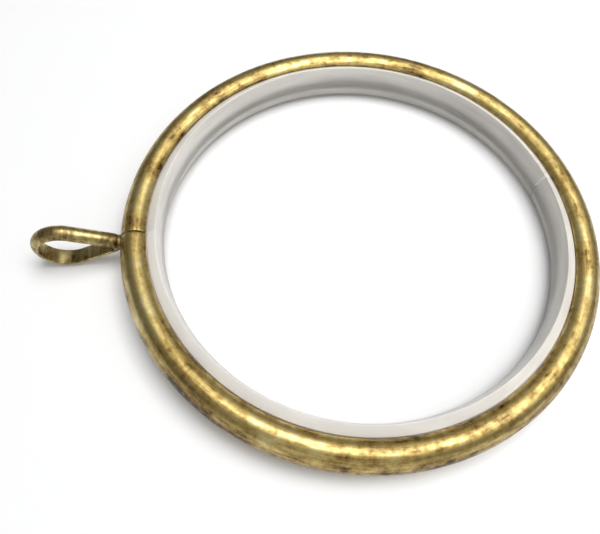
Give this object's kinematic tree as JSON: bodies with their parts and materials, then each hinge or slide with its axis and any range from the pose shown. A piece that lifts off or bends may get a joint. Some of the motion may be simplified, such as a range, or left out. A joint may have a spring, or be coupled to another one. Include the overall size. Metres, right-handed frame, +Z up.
{
  "type": "curtain ring with eyelet",
  "caption": "Round curtain ring of rolled metal channel with a plastic liner in its bore and a swivelling teardrop eyelet for the curtain hook.",
  "frame": {"origin": "centre of the liner's bore, in the ring's middle plane", "axes": "+Z along the ring's axis, which is the pole's axis in use; -Y towards the eyelet, which is down in use; lies flat with Z up"},
  "size_m": [0.06, 0.0706, 0.0076],
  "materials": {
    "shell": "antique brass plating, mottled",
    "liner": "translucent natural plastic, satin",
    "eyelet": "antique brass plating, burnished"
  },
  "bodies": {
    "ring": {"shell": "shell", "liner": "liner"},
    "eyelet": {"eyelet": "eyelet"}
  },
  "joints": [
    {"name": "eyelet_swivel", "type": "hinge", "parent": "ring", "child": "eyelet", "pos_m": [0, -0.03, 0], "axis": [0, -1, 0], "continuous": true}
  ]
}
